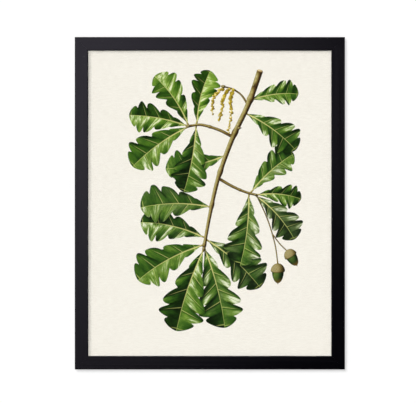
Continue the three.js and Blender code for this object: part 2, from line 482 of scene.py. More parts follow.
def add_rails():
    lacquer = black_lacquer()
    return [
        assemble(f"lacquered_rail_{name}", [rail(half, away, turn)], lacquer,
                 [f"rail_{name}"], crease=25)
        for name, turn, half, away in SIDES
    ]


def slab(low, high, bevel):
    """A sheet between two corners. Its rings are rectangles in x and z at four depths, the first and
    last drawn in by the bevel."""
    x = np.array([low[0], low[0], high[0], high[0]])
    z = np.array([high[2], low[2], low[2], high[2]])
    middle = (low + high) / 2
    depths = np.array([low[1], low[1] + bevel, high[1] - bevel, high[1]])
    inset = np.array([bevel, 0, 0, bevel])[:, None]
    px = x - np.sign(x - middle[0]) * inset
    pz = z - np.sign(z - middle[2]) * inset
    return Patch(grid(px, depths[:, None], pz), around=True, caps=True)


def sheet(name, node, material, bevel):
    """A flat sheet with eased edges that fills its node's box."""
    return assemble(name, [slab(*node_box(node), bevel)], material, [node], crease=20)


def add_sheets():
    glass = sheet("glass_sheet", "glazing", clear_glass(), 0.25 * MM)
    glass.visible_diffuse = False
    sheet("fibre_board", "backing_board", hardboard(), 0.3 * MM)


def thicken(piece, thickness, bevel):
    """Gives a sheet its thickness on the side away from its faces, and eases its edges."""
    solid = piece.modifiers.new("thickness", "SOLIDIFY")
    solid.thickness = thickness
    solid.offset = -1
    if bevel:
        edge = piece.modifiers.new("edges", "BEVEL")
        edge.width = bevel
        edge.segments = 2
        edge.limit_method = "ANGLE"
        edge.angle_limit = math.radians(40)


TAB_W = 8 * MM
TAB_T = 0.5 * MM
TAB_TIP = 2.5 * MM
TAB_IN_RAIL = 2 * MM
TAB_REACH = 9 * MM
TAB_SPRING = 0.35 * MM  # how far the free end curls off the board


def tab(node, turn, away):
    """A steel tab along -u from inside the rail. Its half width follows an ellipse over the last
    stretch, and its free end lifts off the board as the cube of the distance."""
    low, high = node_box(node)
    across = (low + high) / 2 - CENTRE
    c, s = heading_vector(turn)
    along = across[0] * c - across[2] * s
    start, end = REBATE + TAB_IN_RAIL, REBATE - TAB_REACH
    u = start + (end - start) * np.linspace(0, 1, 25) ** 0.7  # closer together towards its free end
    near_tip = np.clip((end + TAB_TIP - u) / TAB_TIP, 0, 1)
    half = TAB_W / 2 * np.sqrt(np.maximum(1 - near_tip**2, 0.02))
    v = np.linspace(-1, 1, 9)
    lift = TAB_SPRING * (1 - (u - end) / (start - end)) ** 3
    points = grid(along + half[:, None] * v, (low[1] + lift)[:, None], (-away - u)[:, None])
    return Patch(to_side(points, turn))


def add_tabs():
    steel = zinc("tab_zinc", 0.38, (0.62, 0.63, 0.64, 1.0))
    for name, turn, _, away in SIDES:
        count = 3 if name in ("left", "right") else 2
        for i in range(1, count + 1):
            node = f"tab_{name}_{i}"
            piece = assemble(f"flexible_{node}", [tab(node, turn, away)], steel, [node])
            thicken(piece, TAB_T, 0.08 * MM)


V_NAIL_T = 0.6 * MM
V_NAIL_LEG = 5 * MM
V_NAIL_HEIGHT = 9 * MM
V_NAIL_PLACES = (10.5 * MM, 17.5 * MM)
V_NAIL_PROUD = 0.03 * MM


def v_nail(half, away, turn, u):
    """The V's outline at two depths. Its corner lies on the mitre at the side's right-hand end."""
    t = V_NAIL_T / 2
    leg = V_NAIL_LEG
    x = half + u + np.array([t, t, -t, -t, -leg, -leg])
    z = -away - u + np.array([-t, leg, leg, t, t, -t])
    y = BACK_Y + np.array([-V_NAIL_HEIGHT, V_NAIL_PROUD])[:, None]
    return Patch(to_side(grid(x, y, z)[::-1], turn), around=True, caps=True)


def add_v_nails():
    steel = zinc("nail_steel", 0.3, (0.5, 0.5, 0.51, 1.0))
    for name, turn, half, away in SIDES:
        for i, u in enumerate(V_NAIL_PLACES, 1):
            nail = v_nail(half, away, turn, u)
            assemble(f"corner_v_nail_{name}_{i}", [nail], steel, [f"v_nail_{name}_{i}"],
                     crease=20)


HANGER_T = 0.9 * MM
HANGER_PAD = 6.5 * MM
HANGER_JOGGLE = 2.5 * MM
TOOTH_PITCH = 3.2 * MM
TOOTH_FLAT = 0.4 * MM
TOOTH_DEPTH = 2 * MM
CENTRE_DEPTH = 3 * MM
TEETH_A_SIDE = 4
NOTCH_SLOPE = (TOOTH_PITCH - TOOTH_FLAT) / 2 / TOOTH_DEPTH  # half a notch's width over its depth
FIRST_NOTCH = TOOTH_FLAT + NOTCH_SLOPE * (CENTRE_DEPTH + TOOTH_DEPTH)
ROUND_END = 1 * MM  # stretch over which each end of the strip narrows
ROUND_IN = 1.2 * MM
PIN_SHANK = 0.9 * MM  # radius
PIN_BLUNT = 1 * MM
PIN_PAD = 0.96  # radius of the head's seat over the head's own
BUMPER_CROWN = 3.2 * MM
BUMPER_RIM = 0.2 * MM
BUMPER_WALL = 0.35  # share of the bumper's height below its dome


def tooth_edge(x):
    """Height of the strip's toothed edge: V notches, the deepest at the middle."""
    away = np.abs(x)
    edge = np.maximum(CENTRE_DEPTH - away / NOTCH_SLOPE, 0)
    for i in range(TEETH_A_SIDE):
        notch = TOOTH_DEPTH - np.abs(away - FIRST_NOTCH - i * TOOTH_PITCH) / NOTCH_SLOPE
        edge = np.maximum(edge, notch)
    return edge


def hanger_strip():
    """A strip whose middle stands off the rail. Its depth eases between two levels at each joggle,
    and its columns fall on every corner of the toothed edge."""
    end = (HANGER_HIGH[0] - HANGER_LOW[0]) / 2
    tips = FIRST_NOTCH + np.arange(TEETH_A_SIDE) * TOOTH_PITCH
    half = NOTCH_SLOPE * TOOTH_DEPTH
    corners = np.concatenate([[0, NOTCH_SLOPE * CENTRE_DEPTH], tips - half, tips, tips + half])
    joggle = np.linspace(end - HANGER_PAD - HANGER_JOGGLE, end - HANGER_PAD, 9)
    right = np.unique(np.concatenate([corners, joggle, [end - ROUND_END, end]]).round(7))
    x = np.concatenate([-right[:0:-1], right])
    raised = 1 - smoothstep(joggle[0], joggle[-1], np.abs(x))
    y = HANGER_LOW[1] + (HANGER_HIGH[1] - HANGER_LOW[1] - HANGER_T) * raised
    drawn_in = ROUND_IN * np.clip((np.abs(x) - end + ROUND_END) / ROUND_END, 0, 1)
    low = HANGER_LOW[2] + tooth_edge(x) + drawn_in
    high = HANGER_HIGH[2] - drawn_in
    t = np.linspace(0, 1, 9)[:, None]
    return Patch(grid(x, y, low + (high - low) * t)[::-1])


def turned(profile, centre, steps=40):
    """A profile of (radius, depth) pairs turned about an axis along +Y through centre."""
    turn = np.linspace(0, 2 * np.pi, steps, endpoint=False)
    radius, depth = np.asarray(profile, float).T[:, :, None]
    x = centre[0] + radius * np.sin(turn)
    z = centre[2] + radius * np.cos(turn)
    return Patch(grid(x, centre[1] + depth, z), around=True, caps=True)


def pin_head(node):
    """A domed head on a pad, and the shank that goes into the rail."""
    low, high = node_box(node)
    centre = (low + high) / 2
    seat = HANGER_LOW[1] + HANGER_T
    head, tall = (high[0] - low[0]) / 2, high[1] - seat
    shank = [[PIN_SHANK, low[1] - seat + PIN_BLUNT], [PIN_SHANK, 0], [head * PIN_PAD, 0]]
    dome = arc(0, 0, 1, 0, 88, 10) * [head, tall]
    return turned(np.vstack([shank, dome]), (centre[0], seat, centre[2]))


def add_hanger():
    plate = zinc("hanger_zinc", 0.26, (0.74, 0.75, 0.77, 1.0))
    strip = assemble("hanger_strip", [hanger_strip()], plate, ["sawtooth_hanger"],
                     crease=30)
    thicken(strip, HANGER_T, 0.1 * MM)
    for i in (1, 2):
        node = f"hanger_pin_{i}"
        assemble(f"domed_{node}", [pin_head(node)], plate, [node], crease=30)


def bumper(node):
    """A low dome with a flat crown: its side is a quarter of an ellipse."""
    low, high = node_box(node)
    centre = (low + high) / 2
    outer, tall = (high[0] - low[0]) / 2, high[1] - low[1]
    reach = [outer - BUMPER_CROWN, (1 - BUMPER_WALL) * tall]
    side = arc(0, 0, 1, 0, 90, 12) * reach + [BUMPER_CROWN, BUMPER_WALL * tall]
    rim = [[outer - BUMPER_RIM, 0], [outer, BUMPER_RIM]]
    profile = np.vstack([rim, side, [[0.5 * MM, tall]]])
    return turned(profile, (centre[0], low[1], centre[2]), 64)


def add_bumpers():
    rubber = soft_rubber()
    for way in ("left", "right"):
        node = f"bumper_{way}"
        assemble(f"rubber_{node}", [bumper(node)], rubber, [node], crease=35)


# ---- The printed plate ----
# Places on the sheet are x and z in millimetres from its centre. The plate is painted: each leaf,
# twig and acorn is worked out as a relief of (across, up, towards the eye), its light and shade are
# kept as numbers on its points, and it is then laid flat on the paper.

LIGHT = unit(np.array([-0.52, 0.46, 0.72]))
INK_Y = node_box("print_sheet")[0][1]
INK_STEP = 0.011 * MM  # between one painted layer and the next above it
INK_T = 0.005 * MM
RELIEF_KEPT = 1e-4  # share of the painted relief that orders a layer's own folds
SQUARE = 2.5  # side of the squares in which layers are stacked
SQUARES = 220


def smooth_path(points, count):
    """A Catmull-Rom curve through points, as count of them: a cubic between each two, whose slopes at
    its ends follow their neighbours."""
    p = np.asarray(points, float)
    p = np.vstack([2 * p[0] - p[1], p, 2 * p[-1] - p[-2]])
    t = np.linspace(0, len(p) - 3, count)
    i = np.minimum(t.astype(int), len(p) - 4)
    f = (t - i)[:, None]
    a, b, c, d = p[i], p[i + 1], p[i + 2], p[i + 3]
    return 0.5 * (2 * b + (c - a) * f + (2 * a - 5 * b + 4 * c - d) * f**2
                  + (3 * b - a - 3 * c + d) * f**3)


def relief_light(relief):
    """How a relief catches the light: its diffuse light and its gloss, each from 0 to 1. The normal
    is the cross product of the two grid directions, turned towards the eye."""
    normal = unit(np.cross(np.gradient(relief, axis=1), np.gradient(relief, axis=0)))
    normal = normal * np.where(normal[..., 2:] < 0, -1, 1)
    half_way = unit(LIGHT + np.array([0, 0, 1]))
    return np.clip(normal @ LIGHT, 0, 1), np.clip(normal @ half_way, 0, 1)


def round_relief(path, radius, columns):
    """The near half of a round body along a path: its points go from one side to the other by the
    sine of an angle, and stand up by the cosine. The second array holds that angle, from -1 to 1."""
    turn = np.radians(np.linspace(-90, 90, columns))[None, :]
    ahead = unit(np.gradient(path, axis=0))
    radius = np.broadcast_to(radius, len(path))[:, None]
    side = radius * np.sin(turn)
    x = path[:, :1] + side * ahead[:, 1:]
    z = path[:, 1:] - side * ahead[:, :1]
    return grid(x, z, radius * np.cos(turn)), turn * 2 / np.pi


LEAF_ROWS = 101
HALF_LEAF_COLUMNS = 9
LEAF_WIDTH = 0.3  # half a leaf's width over its length
LEAF_FOLD = math.radians(20)
LOBES = 4.62  # along each side, the last one cut short by the tip
BAY_DEPTH = 0.56  # share of the half width that a bay takes away
LOBE_LEAN = 0.66
RISE, FALL = 1.15, 0.62  # powers of the leaf's envelope towards its base and its tip
BEND_FROM = 0.3  # place along the leaf where its midrib runs in its heading
MIDRIB = 1.1  # half the midrib's width at the leaf's base
STALK_LENGTH = 6
STICK_COLUMNS = 13
JOINT_SWELL = 0.3
JOINT_SPREAD = 0.018
NUT_LENGTH, NUT_RADIUS = 23, 8.3
NUT_FROM = 4  # where the nut starts inside its cup
NUT_TIP = ((27, 0.7), (28.6, 0.35), (28.8, 0.05))
CUP_LENGTH, CUP_RADIUS = 11, 9.8
BUD_LENGTH, BUD_RADIUS = 7, 2.1
FLORET_ROWS = 9
FLORET_COLUMNS = 7
FLORET_LAYERS = 7
FLORET_RADII = (1.4, 2.5)
FLORET_SCATTER = 1.1
SEED = 41


def half_leaf(side, offset, at, heading, length, bend, roll):
    """One half of a lobed leaf. u runs along the midrib and v across, 0 to side. The half width is an
    envelope u^RISE (1 - u)^FALL. Each lobe is an arch (1 - |t|^2.3)^0.55 of it, t from -1 to 1 between
    two bays, and points lean forwards by their distance from the midrib, less so towards the tip. The
    base is as wide as the midrib. The half rises from the midrib by its fold, the blade swells between
    its side veins, and the leaf rolls about its midrib."""
    u = 0.5 - 0.5 * np.cos(np.pi * np.linspace(0, 1, LEAF_ROWS))[:, None]
    v = np.linspace(min(side, 0), max(side, 0), HALF_LEAF_COLUMNS)[None, :]
    peak = (RISE / (RISE + FALL)) ** RISE * (FALL / (RISE + FALL)) ** FALL
    width = LEAF_WIDTH * length
    full = width * u**RISE * (1 - u) ** FALL / peak
    phase = LOBES * u**0.92 + offset * 4 * u * (1 - u)
    arch = (1 - np.abs(2 * (phase % 1) - 1) ** 2.3) ** 0.55
    cut = BAY_DEPTH * smoothstep(0.02, 0.3, u) * (1 - 0.45 * smoothstep(0.7, 1, u))
    half = full * (1 - cut * (1 - arch)) + MIDRIB * np.sqrt(1 - u)
    lateral = v * half
    lean = LOBE_LEAN * np.abs(v) * (0.55 * full + 0.45 * half) * (1 - smoothstep(0.4, 1, u))
    # The midrib is an arc that starts at its base; points past its tip go straight on.
    reach = np.linspace(0, 1.4, 281)
    angle = np.radians(heading + bend * (np.minimum(reach, 1) - BEND_FROM))
    step = length * reach[1]
    rib_x = at[0] + np.concatenate([[0], np.cumsum(np.cos(angle[:-1]) * step)])
    rib_z = at[1] + np.concatenate([[0], np.cumsum(np.sin(angle[:-1]) * step)])
    along = u + lean / length
    turn = np.interp(along, reach, angle)
    edge = np.abs(v)
    swell = 0.5 + 0.5 * np.cos(2 * np.pi * phase)
    height = 0.04 * width * swell * 4 * edge * (1 - 0.75 * edge)
    ripple = np.sin(2 * np.pi * phase + 1.2) * edge**2.2 * np.sin(np.pi * u)
    height = height + 0.09 * width * ripple
    across = lateral * math.cos(LEAF_FOLD)
    up = np.abs(lateral) * math.sin(LEAF_FOLD) + height
    c, s = heading_vector(roll)
    across, up = across * c - up * s, across * s + up * c
    up = up - 0.3 * length * (u - 0.35) ** 2
    x = np.interp(along, reach, rib_x) + across * np.sin(turn)
    z = np.interp(along, reach, rib_z) - across * np.cos(turn)
    numbers = {"rib": np.abs(lateral) / (1.2 - 0.9 * u), "along": u}
    return grid(x, z, up), grid(phase, v), numbers


class Plate:
    """A painted plate: layers from the back one to the front one, each a list of patches in one
    ink."""

    def __init__(self):
        self.layers = []
        self.top = np.zeros((SQUARES, SQUARES), int)
        self.rng = np.random.default_rng(SEED)

    def level(self, shapes):
        """One more than the highest level in the squares that the shapes touch and in those beside
        them, so that layers which don't meet lie equally low."""
        spots = np.concatenate([relief[..., :2].reshape(-1, 2) for relief, _, _ in shapes])
        squares = np.unique(np.floor(spots / SQUARE).astype(int) + SQUARES // 2, axis=0)
        near = squares[:, None] + np.indices((3, 3)).reshape(2, 9).T - 1
        level = self.top[near[..., 0], near[..., 1]].max() + 1
        self.top[squares[:, 0], squares[:, 1]] = level
        return level

    def lay(self, ink, *shapes):
        """Lays shapes of (relief, uv, numbers) flat on the paper as the next layer."""
        patches = []
        y = INK_Y - INK_STEP * self.level(shapes)
        for relief, uv, numbers in shapes:
            diffuse, gloss = relief_light(relief)
            painted = {"diffuse": diffuse, "gloss": gloss, "shade": np.zeros_like(diffuse)}
            painted |= {key: np.broadcast_to(value, diffuse.shape) for key, value in numbers.items()}
            flat = relief * MM
            x, z = CENTRE[0] + flat[..., 0], CENTRE[2] + flat[..., 1]
            points = grid(x, y - flat[..., 2] * RELIEF_KEPT, z)
            patches.append(Patch(points, uv, painted=painted))
        self.layers.append((ink, patches))

    def stick(self, ink, points, first, last, joints=(), sawn=False):
        """A twig or stalk that thins from one radius to another and swells at its joints, which are
        shares of its length. Its ends are round, but the first is square where it is sawn."""
        reach = np.linalg.norm(np.subtract(points[-1], points[0]))
        path = smooth_path(points, 20 + int(reach / 2.5))
        share = np.linspace(0, 1, len(path))
        radius = first + (last - first) * share
        for joint in joints:
            radius = radius * (1 + JOINT_SWELL * np.exp(-(((share - joint) / JOINT_SPREAD) ** 2)))
        steps = np.linalg.norm(np.diff(path, axis=0), axis=1)
        along = np.concatenate([[0], np.cumsum(steps)])
        to_end = along[-1] - along if sawn else np.minimum(along, along[-1] - along)
        radius = radius * np.sqrt(np.maximum(1 - (1 - np.clip(to_end / radius, 0, 1)) ** 2, 0.01))
        relief, turn = round_relief(path, radius, STICK_COLUMNS)
        numbers = {"own": self.rng.random(), "share": share[:, None]}
        self.lay(ink, (relief, grid(along[:, None], turn), numbers))

    def cut(self, at, heading, radius):
        """A twig's cut end: a pale ellipse across it."""
        t = np.linspace(-1, 1, 21)
        girth = 0.42 * radius * np.sqrt(np.maximum(1 - t**2, 0.003))
        self.body("wood", at, heading, grid(radius * (t + 1), girth), 9)

    def stalk(self, at, heading, bend):
        """The short stalk of the leaf at the same place. It starts inside the twig and ends under the
        leaf's base, along its midrib."""
        turn = np.radians([heading, heading, heading - BEND_FROM * bend])
        steps = np.array([-1, 1 + STALK_LENGTH, 2])[:, None] * grid(np.cos(turn), np.sin(turn))
        self.stick("stalk", np.asarray(at) + np.cumsum(steps, 0), 1.6, MIDRIB)

    def leaf(self, at, heading, length, bend, roll, age):
        """A leaf at the end of its stalk. heading, bend and roll are in degrees, and age goes from 0,
        young, through 1, ripe, to 2, old."""
        base = np.asarray(at) + STALK_LENGTH * heading_vector(heading)
        own = 9 * self.rng.random()
        halves = []
        for side, offset in ((-1, 0), (1, self.rng.uniform(0.15, 0.4))):
            shape = half_leaf(side, offset, base, heading, length, bend, roll)
            shape[2].update(age=age, own=own)
            halves.append(shape)
        self.lay("leaf", *halves)

    def body(self, ink, at, heading, profile, columns=25, tilt=0):
        """A round body seen from the side. profile is (distance along its axis, radius) pairs, and
        the axis leans away from the eye by tilt, so that each ring bows forwards."""
        along, radius = np.asarray(profile, float).T
        ahead = heading_vector(heading)
        relief, turn = round_relief(np.asarray(at) + along[:, None] * ahead, radius, columns)
        relief[..., :2] += relief[..., 2:] * math.sin(math.radians(tilt)) * ahead
        uv = grid((along / along[-1])[:, None], turn)
        self.lay(ink, (relief, uv, {"own": self.rng.random()}))

    def acorn(self, at, heading, size):
        """A nut in its cup. The nut is an egg with a short point, and the cup is the nearer half of a
        wider egg with a rolled rim."""
        t = np.linspace(0, 1, 40)
        egg = np.sqrt(np.maximum(1 - (1.62 * t - 0.62) ** 2, 0)) * (1 - 0.12 * t)
        nut = grid(NUT_FROM + NUT_LENGTH * t, NUT_RADIUS * egg)
        nut = np.vstack([nut[nut[:, 1] > NUT_TIP[0][1]], NUT_TIP])
        t = np.linspace(0, 1, 24)
        bowl = CUP_RADIUS * np.sqrt(np.maximum(1 - (1 - t) ** 2, 0)) - 0.5 * smoothstep(0.9, 1, t)
        cup = grid(CUP_LENGTH * t, np.maximum(bowl, 0.6))
        self.body("nut", at, heading, nut * size, tilt=12)
        self.body("cup", at, heading, cup * size, tilt=12)

    def bud(self, at, heading, size=1.0):
        """A scaly bud: its radius is the sine of its length, blunter at the base."""
        t = np.linspace(0.06, 1, 16)
        profile = grid(BUD_LENGTH * t, BUD_RADIUS * np.sin(np.pi * t**0.7) + 0.1) * size
        self.body("cup", at, heading, profile, 13)

    def catkin(self, points, florets):
        """A thread hung with florets: small domes scattered about a path, some in front of others, and
        smaller towards its end. Florets of one layer are too far apart to touch."""
        self.stick("stalk", points, 0.6, 0.5)
        path = smooth_path(points, florets)
        rise = np.linspace(-1, 1, FLORET_ROWS)
        for first in range(3, 3 + FLORET_LAYERS):
            shapes = []
            for i in range(first, florets, FLORET_LAYERS):
                at = path[i] + self.rng.normal(0, FLORET_SCATTER, 2)
                r = self.rng.uniform(*FLORET_RADII) * (1.15 - 0.4 * i / florets)
                spine = at + grid(0, r * np.sin(rise * np.pi / 2))
                girth = r * np.maximum(np.cos(rise * np.pi / 2), 0.08)
                relief, turn = round_relief(spine, girth, FLORET_COLUMNS)
                shapes.append((relief, grid(rise[:, None], turn), {"own": self.rng.random()}))
            self.lay("catkin", *shapes)

    def cast_shades(self):
        """Shades every patch by those of the layers above it."""
        for i, (_, below) in enumerate(self.layers):
            above = [patch for _, patches in self.layers[i + 1:] for patch in patches]
            for lower in below:
                for upper in above:
                    cast_shade(lower, upper)

    def pieces(self, ink):
        return [patch for kind, patches in self.layers if kind == ink for patch in patches]


SHADE_REACH = 6 * MM
SHADE_INSIDE = 1.5 * MM  # how far under the upper shape the shade is at its full
SHADE_SLIP = np.array([1.8, -2.2]) * MM


def cast_shade(below, above):
    """Darkens a patch near the outline of one above it. The outline is slipped away from the light,
    and the shade fades with distance from it."""
    edge = above.outline()[::3] + SHADE_SLIP  # every third point is close enough
    spots = below.points[..., [0, 2]].reshape(-1, 2)
    gap = np.maximum(edge.min(0) - spots.max(0), spots.min(0) - edge.max(0))
    if gap.max() > SHADE_REACH:
        return
    ax, az = edge.T[:, None, :]
    bx, bz = np.roll(edge, -1, 0).T[:, None, :]
    px, pz = spots.T[:, :, None]
    crosses = (az > pz) != (bz > pz)
    meets = ax + (pz - az) * (bx - ax) / np.where(np.abs(bz - az) < 1e-9, 1e-9, bz - az)
    inside = (np.sum(crosses & (px < meets), -1) % 2).astype(bool)
    distance = np.sqrt(np.min((px - ax) ** 2 + (pz - az) ** 2, -1))
    shade = 1 - smoothstep(-SHADE_INSIDE, SHADE_REACH, np.where(inside, -distance, distance))
    shade = shade.reshape(below.points.shape[:2])
    below.painted["shade"] = 1 - (1 - below.painted["shade"]) * (1 - shade)


# ---- Inks ----

LEAF_GREENS = (
    (0.0, rgb(12, 22, 8)),
    (0.16, rgb(24, 46, 15)),
    (0.34, rgb(44, 80, 24)),
    (0.52, rgb(70, 107, 34)),
    (0.68, rgb(108, 139, 54)),
    (0.84, rgb(161, 184, 114)),
    (1.0, rgb(226, 232, 198)),
)
YOUNG_GREENS = (
    (0.0, rgb(18, 36, 8)),
    (0.25, rgb(46, 84, 16)),
    (0.5, rgb(92, 134, 34)),
    (0.72, rgb(140, 172, 66)),
    (0.88, rgb(186, 208, 120)),
    (1.0, rgb(232, 236, 190)),
)
OLD_GREENS = (
    (0.0, rgb(14, 20, 12)),
    (0.2, rgb(34, 46, 26)),
    (0.42, rgb(64, 82, 44)),
    (0.62, rgb(98, 116, 70)),
    (0.8, rgb(150, 162, 122)),
    (1.0, rgb(216, 218, 196)),
)
BARK = (
    (0.0, rgb(38, 26, 14)),
    (0.25, rgb(84, 62, 30)),
    (0.5, rgb(126, 106, 54)),
    (0.75, rgb(168, 154, 92)),
    (1.0, rgb(216, 206, 158)),
)
WOOD = (
    (0.0, rgb(120, 92, 52)),
    (0.5, rgb(206, 180, 124)),
    (1.0, rgb(240, 224, 180)),
)
STALK = (
    (0.0, rgb(74, 58, 26)),
    (0.3, rgb(128, 110, 50)),
    (0.6, rgb(176, 168, 86)),
    (1.0, rgb(226, 222, 150)),
)
NUT = (
    (0.0, rgb(16, 28, 14)),
    (0.2, rgb(34, 56, 24)),
    (0.42, rgb(74, 100, 40)),
    (0.62, rgb(128, 142, 66)),
    (0.82, rgb(194, 194, 132)),
    (1.0, rgb(246, 242, 222)),
)
CUP = (
    (0.0, rgb(34, 26, 12)),
    (0.3, rgb(82, 68, 32)),
    (0.6, rgb(134, 118, 66)),
    (1.0, rgb(206, 194, 142)),
)
CATKIN = (
    (0.0, rgb(110, 92, 20)),
    (0.35, rgb(182, 158, 42)),
    (0.65, rgb(228, 206, 92)),
    (1.0, rgb(250, 242, 196)),
)


def leaf_ink():
    """Painted leaf: strokes that follow the side veins, pale midrib and side veins with a dark line
    on their shaded side, pale highlights broken by the strokes, and a fine rim. Side veins turn olive
    where the blade is bright, and the green drifts between warm and cool over each leaf."""
    paint = Paint("leaf_ink")
    phase, across = paint.grain_uv()
    diffuse, gloss, shade = paint.number("diffuse"), paint.number("gloss"), paint.number("shade")
    rib, along, own = paint.number("rib"), paint.number("along"), paint.number("own")
    edge = abs(across)
    broad = paint.noise(phase * 6, across * 1.5, own, detail=2)
    strokes = paint.noise(phase * 11, across * 2.8, own, detail=4, roughness=0.65)
    fine = paint.noise(phase * 46, across * 5, own, detail=2)
    wash = paint.noise(phase * 1.3, across * 1.6, own, detail=2)
    lit = diffuse.step(0.12, 1.0)
    shine = gloss.step(0.92, 1.0) * (broad * 0.6 + strokes * 0.4).step(0.3, 0.62)
    tone = 0.125 + lit * 0.52 + shine * 0.38 + (strokes - 0.5) * 0.46
    tone = tone + (fine - 0.5) * 0.26 + (wash - 0.5) * 0.36 + (broad - 0.5) * 0.28
    beside = abs((phase - 0.045).fraction() - 0.5)
    tone = tone - (1 - beside.step(0.0, 0.09)) * 0.2 * rib.step(1.2, 2.5)
    rim = edge.step(0.92, 1.0)
    tone = tone * (1 - shade * 0.7) + rim * (lit - 0.58) * 0.34
    drift = paint.noise(phase * 0.9, across * 2.2, own + 3, detail=2)
    age = paint.number("age") + (drift - 0.5) * 1.6
    young, ripe = paint.ramp(tone, YOUNG_GREENS), paint.ramp(tone, LEAF_GREENS)
    colour = paint.mix(age.step(0.0, 1.0), young, ripe)
    colour = paint.mix(age.step(1.0, 2.0), colour, paint.ramp(tone, OLD_GREENS))
    side_vein = abs(phase.fraction() - 0.5)
    thin = 0.024 - edge * 0.014
    vein = (thin - side_vein).step(-0.01, 0.01) * (1 - edge.step(0.5, 0.95)) * 0.72
    midrib = 1 - rib.step(0.75, 1.25)
    pale = vein.most(midrib) * (1 - shade * 0.6) * (0.6 + lit * 0.4)
    vein_colour = paint.mix(along, rgb(226, 220, 140), rgb(190, 204, 112))
    olive = (1 - midrib) * tone.step(0.55, 0.8) * edge.step(0.1, 0.4)
    vein_colour = paint.mix(olive, vein_colour, rgb(96, 104, 36))
    return paint.finish(paint.mix(pale, colour, vein_colour))


def stick_ink(name, stops, streak, shaded=0.6, paler=0.0):
    """Painted bark or stalk: streaks along it, and light across its roundness. shaded is how much a
    shadow darkens it, and paler how much lighter it gets towards its end."""
    paint = Paint(name)
    along, around = paint.grain_uv()
    diffuse, shade, own = paint.number("diffuse"), paint.number("shade"), paint.number("own") * 9
    streaks = paint.noise(along * 0.16, around * 4, own, detail=4, roughness=0.6)
    knots = paint.noise(along * 0.5, around * 1.5, own + 4, detail=3)
    tone = diffuse.step(0.15, 1.0) * 0.8 + (streaks - 0.5) * streak + (knots - 0.5) * streak
    tone = tone + paint.number("share") * paler
    return paint.finish(paint.ramp(tone * (1 - shade * shaded), stops))


def nut_ink():
    """Painted acorn: stripes from cup to tip, a bright highlight and a dark shaded side."""
    paint = Paint("nut_ink")
    share, around = paint.grain_uv()
    diffuse, gloss = paint.number("diffuse"), paint.number("gloss")
    stripes = paint.noise(share * 1.2, around * 13, paint.number("own") * 9, detail=3, roughness=0.6)
    shine = gloss.step(0.965, 0.998) * share.step(0.95, 0.6)
    tone = diffuse.step(0.05, 1.0) * 0.55 + shine * 0.5 + (stripes - 0.5) * 0.25
    tone = tone - (1 - share.step(0.1, 0.5)) * 0.14
    colour = paint.ramp(tone * (1 - paint.number("shade") * 0.7), NUT)
    colour = paint.mix(share.step(0.6, 1.0) * 0.45, colour, rgb(160, 124, 56))
    return paint.finish(colour)


def cup_ink():
    """Painted cup or bud: rows of overlapping scales, each lit at its upper edge."""
    paint = Paint("cup_ink")
    share, around = paint.grain_uv()
    diffuse = paint.number("diffuse")
    one = (share * 6 + around * 4).fraction()
    two = (share * 6 - around * 4).fraction()
    rough = paint.noise(share * 9, around * 7, paint.number("own") * 9, detail=3)
    tone = diffuse.step(0.0, 1.0) * 0.75 + (one + two - 1) * 0.24 + (rough - 0.5) * 0.25
    colour = paint.ramp(tone * (1 - paint.number("shade") * 0.6), CUP)
    return paint.finish(colour)


def catkin_ink():
    """Painted catkin florets, each its own brightness."""
    paint = Paint("catkin_ink")
    diffuse = paint.number("diffuse")
    tone = diffuse.step(0.0, 1.0) * 0.7 + (paint.number("own") - 0.5) * 0.5 + 0.12
    colour = paint.ramp(tone * (1 - paint.number("shade") * 0.6), CATKIN)
    return paint.finish(colour)


def cream_paper():
    """Matt art paper printed cream, whose felt grain lies across the sheet."""
    paint = Paint("cream_paper")
    x, _, z = paint.place()
    felt = paint.noise(x * 120, z * 460, detail=2, roughness=0.5)
    fine = paint.noise(x * 900, z * 1500, 2.0, detail=3, roughness=0.6)
    cloud = paint.noise(x * 40, z * 60, 5.0, detail=3)
    tooth = felt * 0.6 + fine * 0.24 + cloud * 0.16
    return paint.finish(
        roughness=0.9,
        base_color=paint.mix(tooth.step(0.25, 0.75), rgb(239, 234, 223), rgb(250, 246, 236)),
        normal=paint.bump(tooth, 0.025 * MM, 0.5),
    )


# ---- The oak plate's layout ----

CROWN, SIDE, FOOT = (-34, 126), (74, 14), (-10, -74)

# Each leaf: its place, heading, length, bend, roll and age.
LEAVES_BEHIND = (
    ((64, 168), 12, 76, -26, 16, 0.7),
    ((-22, 128), 80, 86, -24, -14, 0.15),
    ((66, 17), 46, 90, -22, 18, 1.1),
    ((27, 78), 196, 96, -20, -12, 0.9),
    (CROWN, 120, 94, 26, -18, 0.45),
    ((-7, -56), 162, 104, 26, 12, 1.2),
    (SIDE, 0, 70, -30, -10, 0.8),
    ((57, 148), -32, 98, -24, 10, 0.9),
    ((4, -6), 176, 112, 24, -10, 1.3),
    ((-7, -58), 322, 114, -20, 14, 1.5),
    ((64, 17), -94, 114, -16, -12, 1.4),
)
LEAVES_BEFORE = (
    (SIDE, -44, 92, -26, 12, 1.7),
    (CROWN, 166, 94, 20, 16, 0.5),
    ((-9, -67), 204, 118, 24, -14, 0.9),
    ((-22, 128), 262, 106, -14, 10, 0.95),
    ((-9.5, -70), 287, 132, -14, -12, 1.2),
    (CROWN, 212, 108, 20, -12, 0.7),
    (FOOT, 249, 136, 14, 10, 0.8),
)


